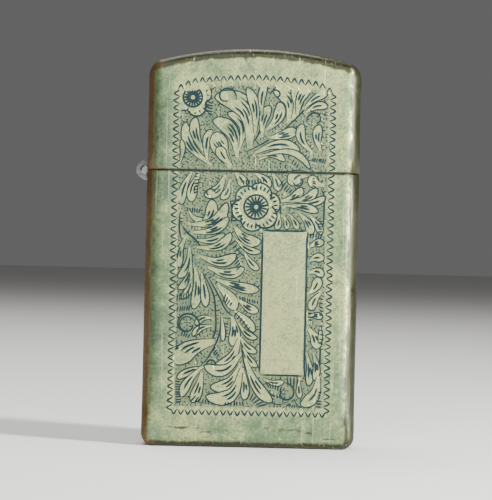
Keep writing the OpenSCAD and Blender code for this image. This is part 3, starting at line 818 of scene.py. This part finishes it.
def aged_brass():
    """Pale worn brass with green mottling, scratched and speckled; the narrow sides are browner and darker,
    partly tarnish and partly painted shade and painted reflection, and the left of the face takes extra
    patina that is partly painted shade.
    """
    f = Finish("aged_brass")
    x, z = f.axis("X"), f.axis("Z")
    broad = f.noise(75, 5, 0.6)
    mottle = f.noise(420, 6, 0.65, distortion=0.6)
    fine = f.noise(2600, 5, 0.7)
    aside = f.between(f.math("ABSOLUTE", x), 0.0108, 0.0122)
    above = f.math("MAXIMUM", f.between(z, 0.0050, 0.0042), f.between(z, 0.0520, 0.0532))
    outside = f.math("MAXIMUM", aside, above)
    patina = f.math("ADD", f.math("MULTIPLY", mottle, 0.62), f.math("MULTIPLY", broad, 0.55))
    patina = f.math("ADD", patina, f.math("MULTIPLY", outside, 0.10))
    # More patina towards the left edge: partly tarnish, partly painted shade, so the left reads darker and
    # greener.
    left = f.between(x, -0.0095, -0.0150)
    patina = f.math("ADD", patina, f.math("MULTIPLY", left, 0.13))
    patina = f.math("ADD", patina, f.math("MULTIPLY", f.math("SUBTRACT", fine, 0.5), 0.45))
    green = f.between(patina, 0.50, 0.78)
    deep = f.between(patina, 0.70, 0.95)
    clean = f.mix(f.between(fine, 0.35, 0.7), (0.44, 0.46, 0.20), (0.30, 0.36, 0.18))
    colour = f.mix(f.math("MULTIPLY", green, 0.9), clean, (0.085, 0.145, 0.07))
    colour = f.mix(f.math("MULTIPLY", deep, 0.8), colour, (0.015, 0.03, 0.018))
    # Band round the outer edges (crown, foot and both sides): partly tarnish, partly painted shade and
    # painted reflection.
    above_centre = f.math("SUBTRACT", z, (TOP - CROWN_R) * MM)
    squares = f.math("ADD", f.math("POWER", x, 2.0), f.math("POWER", above_centre, 2.0))
    from_crown = f.math("POWER", squares, 0.5)
    wander = f.math("MULTIPLY", f.math("SUBTRACT", mottle, 0.5), 0.0012)
    rim = f.between(f.math("ADD", from_crown, wander), (CROWN_R - 1.55) * MM, (CROWN_R - 1.15) * MM)
    rim = f.math("MAXIMUM", rim, f.between(f.math("ADD", z, wander), 0.0011, 0.0006))
    rim = f.math("MAXIMUM", rim, f.between(f.math("ADD", x, wander), 0.0134, 0.0138))
    rim = f.math("MAXIMUM", rim, f.between(f.math("ADD", x, wander), -0.0140, -0.0144))
    parting = f.between(f.math("ABSOLUTE", f.math("SUBTRACT", z, HINGE_AT.z * MM)), 0.00030, 0.00014)
    # Edge colour: brown at the left edge, near black-green on the crown, foot and right edge; part tarnish,
    # part painted shade and painted reflection, and the left-right difference is painted light. The
    # parting-line band takes the same colour.
    edge_tarnish_and_painted_shade = f.mix(f.between(fine, 0.4, 0.65), (0.15, 0.078, 0.020), (0.060, 0.034, 0.011))
    dark = f.mix(f.between(fine, 0.4, 0.65), (0.028, 0.026, 0.014), (0.012, 0.013, 0.008))
    edge_tarnish_and_painted_shade = f.mix(f.between(x, -0.0142, -0.0125), edge_tarnish_and_painted_shade, dark)
    rim = f.math("MULTIPLY", f.math("MAXIMUM", rim, parting), 0.93)
    colour = f.mix(rim, colour, edge_tarnish_and_painted_shade)
    streak = f.between(f.noise(1.0, 3, 0.6, f.scaled((260, 900, 1500))), 0.60, 0.66)
    from_foot_band = f.math("ABSOLUTE", f.math("SUBTRACT", z, 0.0021))
    streak = f.math("MULTIPLY", streak, f.between(from_foot_band, 0.0011, 0.0006))
    colour = f.mix(f.math("MULTIPLY", streak, 0.85), colour, (0.02, 0.022, 0.016))
    colour = f.mix(f.math("MULTIPLY", f.attribute("ground"), 0.62), colour, (0.035, 0.07, 0.055))
    rub = f.attribute("rub")
    worn = f.math("MULTIPLY", f.between(f.math("ADD", rub, f.math("MULTIPLY", fine, 0.5)), 1.05, 1.4), 0.35)
    worn = f.math("MULTIPLY", worn, f.math("SUBTRACT", 1.0, rim))
    colour = f.mix(worn, colour, (0.62, 0.52, 0.22))
    speck = f.between(f.cells(900), 0.20, 0.08)
    speck = f.math("MULTIPLY", speck, f.between(f.noise(160, 3), 0.52, 0.66))
    colour = f.mix(f.math("MULTIPLY", speck, 0.75), colour, (0.045, 0.055, 0.04))
    lines = f.scratches((0.6, -0.9, 1.35, 0.05))
    lines = f.math("MULTIPLY", lines, f.between(f.math("ABSOLUTE", x), 0.0148, 0.0138, 0.3, 1.0))
    colour = f.mix(f.math("MULTIPLY", lines, 0.16), colour, (0.70, 0.68, 0.42))
    rough = f.between(patina, 0.45, 0.85, 0.40, 0.62)
    rough = f.math("SUBTRACT", rough, f.math("MULTIPLY", lines, 0.08))
    rough = f.math("SUBTRACT", rough, f.math("MULTIPLY", rub, 0.16))
    metallic = f.between(patina, 0.55, 0.95, 0.88, 0.35)
    normal = f.bump(f.noise(140, 2, 0.5), 0.00018)
    normal = f.bump(f.math("SUBTRACT", f.math("MULTIPLY", fine, 0.5), lines), 0.000012, 1.0, normal)
    return f.finish(colour, rough, metallic, normal)


def cut_patina():
    """Blue-green black that fills the engraved cuts, rubbed thin here and there."""
    f = Finish("cut_patina")
    grain = f.noise(1500, 4, 0.65)
    worn = f.between(f.noise(260, 5, 0.6), 0.55, 0.78)
    colour = f.mix(grain, (0.003, 0.012, 0.016), (0.008, 0.026, 0.030))
    colour = f.mix(f.math("MULTIPLY", worn, 0.4), colour, (0.05, 0.09, 0.07))
    rough = f.between(grain, 0.3, 0.7, 0.7, 0.9)
    return f.finish(colour, rough, 0.0, f.bump(grain, 0.00002), Specular_IOR_Level=0.15)


# ---------------------------------------------------------------- the shells

BRASS = aged_brass()
PATINA = cut_patina()
pattern = Engraving(7)
foliage(pattern)
flower(pattern, (-8.8, 49.4), 1.35, 4, 20)
flower(pattern, (0.5, 34.1), 1.7, 6, 30)
name_panel(pattern)
FIELD = [(-10.5, 5.8), (10.5, 5.8), (10.5, 50.6)] + [
    (x, TOP - 5.2 - CROWN_R + math.sqrt(CROWN_R ** 2 - x * x)) for x in (9.8, 6, 3, 0, -3, -6, -9.8)
] + [(-10.5, 50.6)]
pattern.keep(FIELD, False)
pattern.ground(FIELD)
wave_border(pattern)


def bare_ground(points):
    """1 for each point of the face on the sunken ground between the leaves."""
    open_ground = within(points, FIELD)
    for shape in pattern.shapes:
        open_ground &= ~within(points, shape)
    return open_ground


case = shell("engraved_case", case_stations, CASE_RIM, 1, pattern.cuts, bare_ground, [BRASS, PATINA])
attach(case, "case")
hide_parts("case_shell")

lid = shell("engraved_lid", lid_stations, LID_RIM, -1, pattern.cuts, bare_ground, [BRASS, PATINA])
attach(lid, "lid")
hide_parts("lid_shell")


# ---------------------------------------------------------------- the other pieces

def worn_metal(name, dark, light, rough, grain=(600, 600, 600), stain=None):
    """Metal with a grain stretched along one axis, fine scratches, and stains where they are wanted."""
    f = Finish(name)
    streak = f.noise(1.0, 4, 0.6, f.scaled(grain))
    cloud = f.noise(260, 5, 0.6)
    colour = f.mix(f.between(streak, 0.3, 0.7), dark, light)
    colour = f.mix(f.between(cloud, 0.5, 0.75, 0, 0.6), colour, stain or dark)
    lines = f.scratches((0.4, -1.1), 2200, 90, 0.66)
    colour = f.mix(f.math("MULTIPLY", lines, 0.3), colour, light)
    clouded = f.between(cloud, 0.35, 0.75, rough, rough + 0.22)
    rougher = f.math("ADD", clouded, f.math("MULTIPLY", lines, 0.06))
    normal = f.bump(f.math("SUBTRACT", streak, lines), 0.000012)
    return f.finish(colour, rougher, 1.0, normal)


def fibres(name, dark, light, scale):
    """Soft fibrous stuff: tangled threads, paler where they stand up."""
    f = Finish(name)
    tangle = f.noise(scale, 6, 0.7, distortion=2.5)
    clump = f.noise(scale / 9, 3, 0.5)
    colour = f.mix(f.between(f.math("ADD", tangle, f.math("MULTIPLY", clump, 0.4)), 0.5, 0.95), dark, light)
    rough = f.between(tangle, 0.3, 0.7, 0.85, 1.0)
    return f.finish(colour, rough, 0.0, f.bump(tangle, 0.00012), Sheen_Weight=0.3)


def drawn_from(node):
    """A merged copy of a frame node's mesh, on no body yet."""
    thing = bpy.data.objects[node].copy()
    thing.data = thing.data.copy()
    thing.data.materials.clear()
    bpy.context.scene.collection.objects.link(thing)
    bm = bmesh.new()
    bm.from_mesh(thing.data)
    bmesh.ops.remove_doubles(bm, verts=bm.verts, dist=0.004 * MM)
    bmesh.ops.dissolve_limit(bm, angle_limit=math.radians(1), verts=bm.verts, edges=bm.edges)
    bm.to_mesh(thing.data)
    bm.free()
    return thing


def hand_over(thing, node, body, material):
    """Puts a finished piece in the place of its frame node."""
    thing.data.materials.clear()
    thing.data.materials.append(material)
    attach(thing, body)
    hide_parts(node)


def softened(node, body, material, width):
    """A frame node's shape with its hard edges broken."""
    thing = drawn_from(node)
    thing.name = node + "_softened"
    bevel = thing.modifiers.new("bevel", "BEVEL")
    bevel.width = width * MM
    bevel.segments = 2
    bevel.limit_method = "ANGLE"
    bevel.angle_limit = math.radians(35)
    bevel.use_clamp_overlap = True
    with_modifiers_applied(thing)
    thing.data.shade_smooth()
    thing.data.set_sharp_from_angle(angle=math.radians(28))
    hand_over(thing, node, body, material)


def fluffed(node, material, voxel, depth, scale):
    """A frame node's shape as soft stuff: rounded off, then dented and tufted inwards."""
    thing = drawn_from(node)
    thing.name = node + "_soft"
    remesh = thing.modifiers.new("remesh", "REMESH")
    remesh.mode = "VOXEL"
    remesh.voxel_size = voxel * MM
    with_modifiers_applied(thing)
    bm = bmesh.new()
    bm.from_mesh(thing.data)
    bmesh.ops.smooth_vert(bm, verts=bm.verts, factor=0.5, use_axis_x=True, use_axis_y=True, use_axis_z=True)
    bm.normal_update()
    for v in bm.verts:
        tuft = 0.5 + 0.5 * noise.fractal(v.co * scale, 0.8, 2.0, 4)
        v.co -= v.normal * depth * MM * max(0.0, min(1.0, tuft))
    bm.to_mesh(thing.data)
    bm.free()
    thing.data.shade_smooth()
    hand_over(thing, node, "case", material)


def braided_wick(material):
    """A round plait of eight and eight strands with a bore for its wire."""
    low, high = box_mm("wick")
    cx, cy, r = (low.x + high.x) / 2, (low.y + high.y) / 2, (high.x - low.x) / 2
    around, rows = 96, 300
    strands, lay, bore = 8, 6.0, 0.3
    verts, faces = [], []
    for k in range(rows + 1):
        z = low.z + (high.z - low.z) * k / rows
        for i in range(around):
            a = 2 * math.pi * i / around
            left = abs(math.cos(strands / 2 * (a + 2 * math.pi * z / lay)))
            right = abs(math.cos(strands / 2 * (a - 2 * math.pi * z / lay)))
            q = r - 0.17 * (1 - max(left, right))
            verts.append((cx + q * math.cos(a), cy + q * math.sin(a), z))
    for z in (high.z, low.z):
        for i in range(around):
            a = 2 * math.pi * i / around
            verts.append((cx + bore * math.cos(a), cy + bore * math.sin(a), z))
    top_bore = (rows + 1) * around
    rings = [[k * around + i for i in range(around)] for k in range(rows + 1)]
    rings += [[top_bore + i for i in range(around)], [top_bore + around + i for i in range(around)], rings[0]]
    for a, b in zip(rings, rings[1:]):
        faces += [(a[i], a[(i + 1) % around], b[(i + 1) % around], b[i]) for i in range(around)]
    thing = mesh_object("braided_wick", verts, faces, [material])
    hand_over(thing, "wick", "case", material)


def coil_spring(material):
    """The flint spring: round wire in a helix with closed end turns."""
    low, high = box_mm("flint_spring")
    cx, cy, wire = (low.x + high.x) / 2, (low.y + high.y) / 2, 0.15
    r, turns, steps, around = (high.x - low.x) / 2 - wire, 22, 28, 10
    n = turns * steps
    closed = 2.1 * wire            # pitch of the first and last turn
    pitch = (high.z - low.z - 2 * wire - 2 * closed) / (turns - 2)
    verts, faces = [], []
    for i in range(n + 1):
        t = i / steps
        open_turns = min(max(t - 1, 0), turns - 2)
        z = low.z + wire + closed * min(t, 1) + pitch * open_turns + closed * max(t - turns + 1, 0)
        a = 2 * math.pi * t
        for k in range(around):
            b = 2 * math.pi * k / around
            q = r + wire * math.cos(b)
            verts.append((cx + q * math.cos(a), cy + q * math.sin(a), z + wire * math.sin(b)))
    for i in range(n):
        a, b = i * around, (i + 1) * around
        faces += [(a + k, a + (k + 1) % around, b + (k + 1) % around, b + k) for k in range(around)]
    faces += [tuple(range(around))[::-1], tuple(n * around + k for k in range(around))]
    thing = mesh_object("flint_coil", verts, faces, [material])
    bm = bmesh.new()
    bm.from_mesh(thing.data)
    bmesh.ops.recalc_face_normals(bm, faces=bm.faces)
    bm.to_mesh(thing.data)
    bm.free()
    hand_over(thing, "flint_spring", "case", material)
    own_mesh(thing)


NICKEL = worn_metal("nickel_hinge", (0.10, 0.11, 0.115), (0.42, 0.43, 0.43),
                    0.20, (500, 500, 2500), (0.14, 0.16, 0.15))
BRIGHT = worn_metal("bright_pin", (0.22, 0.225, 0.225), (0.50, 0.50, 0.49), 0.20)
INSERT = worn_metal("insert_steel", (0.20, 0.20, 0.195), (0.44, 0.435, 0.42),
                    0.28, (250, 250, 2600), (0.11, 0.10, 0.085))
STRIKER = worn_metal("striker_steel", (0.07, 0.07, 0.075), (0.28, 0.28, 0.28),
                     0.38, (900, 900, 900), (0.05, 0.04, 0.035))
SPRING = worn_metal("spring_steel", (0.25, 0.25, 0.26), (0.52, 0.52, 0.52), 0.25)
TUBE = worn_metal("tube_brass", (0.42, 0.29, 0.10), (0.72, 0.56, 0.24),
                  0.28, (400, 400, 2000), (0.24, 0.17, 0.07))
FLINT = worn_metal("flint_alloy", (0.10, 0.10, 0.10), (0.26, 0.25, 0.24), 0.55)
COPPER = worn_metal("copper_wire", (0.45, 0.17, 0.08), (0.78, 0.36, 0.20), 0.28, stain=(0.16, 0.07, 0.04))
WICK = fibres("braided_wick", (0.36, 0.31, 0.22), (0.78, 0.73, 0.62), 4200)
COTTON = fibres("cotton", (0.55, 0.54, 0.50), (0.88, 0.87, 0.84), 2600)
FELT = fibres("felt", (0.30, 0.29, 0.27), (0.62, 0.61, 0.58), 3800)

for node, material in (
        ("case_hinge_leaf", NICKEL), ("lid_hinge_leaf", NICKEL),
        ("hinge_pin", BRIGHT), ("cam_spring", SPRING),
        ("flint_tube", TUBE), ("flint_follower", TUBE), ("flint_screw", TUBE), ("flint", FLINT),
        ("wick_core_wire", COPPER)):
    data = bpy.data.objects[node].data
    data.materials.clear()
    data.materials.append(material)

softened("fuel_tank", "case", INSERT, 0.12)
softened("deck_plate", "case", INSERT, 0.06)
softened("chimney", "case", INSERT, 0.10)
softened("cam", "cam", INSERT, 0.15)
softened("striker_wheel", "striker_wheel", STRIKER, 0.06)
softened("wheel_axle", "case", BRIGHT, 0.14)
softened("cam_axle", "case", BRIGHT, 0.14)
softened("cam_spring_rivet", "case", BRIGHT, 0.10)
coil_spring(SPRING)
braided_wick(WICK)
fluffed("cotton_packing", COTTON, 0.3, 0.35, 700)
fluffed("felt_pad", FELT, 0.22, 0.12, 1800)


# ---------------------------------------------------------------- floor, light and camera

def area_light(name, at, towards, size, power, colour=(1, 1, 1)):
    data = bpy.data.lights.new(name, "AREA")
    data.shape = "RECTANGLE"
    data.size, data.size_y = size
    data.energy = power
    data.color = colour
    lamp = bpy.data.objects.new(name, data)
    lamp.location = at
    lamp.rotation_euler = (Vector(towards) - Vector(at)).to_track_quat("-Z", "Y").to_euler()
    bpy.context.scene.collection.objects.link(lamp)
    return lamp


def studio():
    """A pale floor, a pale room and soft lamps."""
    bpy.ops.mesh.primitive_circle_add(vertices=96, radius=3.0, fill_type="NGON", location=(0, 0, 0))
    floor = bpy.context.object
    floor.name = "floor"
    f = Finish("pale_floor")
    f.finish(f.mix(f.noise(9, 2), (0.72, 0.71, 0.69), (0.76, 0.75, 0.73)), 0.8, 0.0)
    floor.data.materials.append(f.material)
    world = bpy.data.worlds.new("studio")
    world.use_nodes = True
    world.node_tree.nodes["Background"].inputs[0].default_value = (0.80, 0.80, 0.80, 1)
    world.node_tree.nodes["Background"].inputs[1].default_value = 0.16
    bpy.context.scene.world = world
    middle = (0, 0, 0.028)
    area_light("front_soft", (-0.05, -0.75, 0.45), middle, (0.5, 0.4), 4.2)
    area_light("right_strip", (0.29, -0.21, 0.05), middle, (0.05, 0.5), 11)
    area_light("top_soft", (-0.1, 0.25, 0.7), middle, (0.5, 0.5), 5)


def camera():
    """Level with the middle of the face, looking along Y, rolled a little so that the lighter leans right."""
    away = 0.35
    face_height = 0.07066      # what the frame's height covers at the front face
    lean = math.radians(1.333)
    data = bpy.data.cameras.new("camera")
    data.sensor_width = 36
    data.lens = away * data.sensor_width / face_height
    data.clip_start = 0.01
    eye = bpy.data.objects.new("camera", data)
    right = Vector((math.cos(lean), 0, math.sin(lean)))
    up = Vector((-math.sin(lean), 0, math.cos(lean)))
    back = Vector((0, -1, 0))
    turn = Matrix((right, up, back)).transposed().to_4x4()
    eye.matrix_world = Matrix.Translation((-0.00079, -HALF_D * MM - away, 0.028)) @ turn
    bpy.context.scene.collection.objects.link(eye)
    bpy.context.scene.camera = eye


studio()
camera()
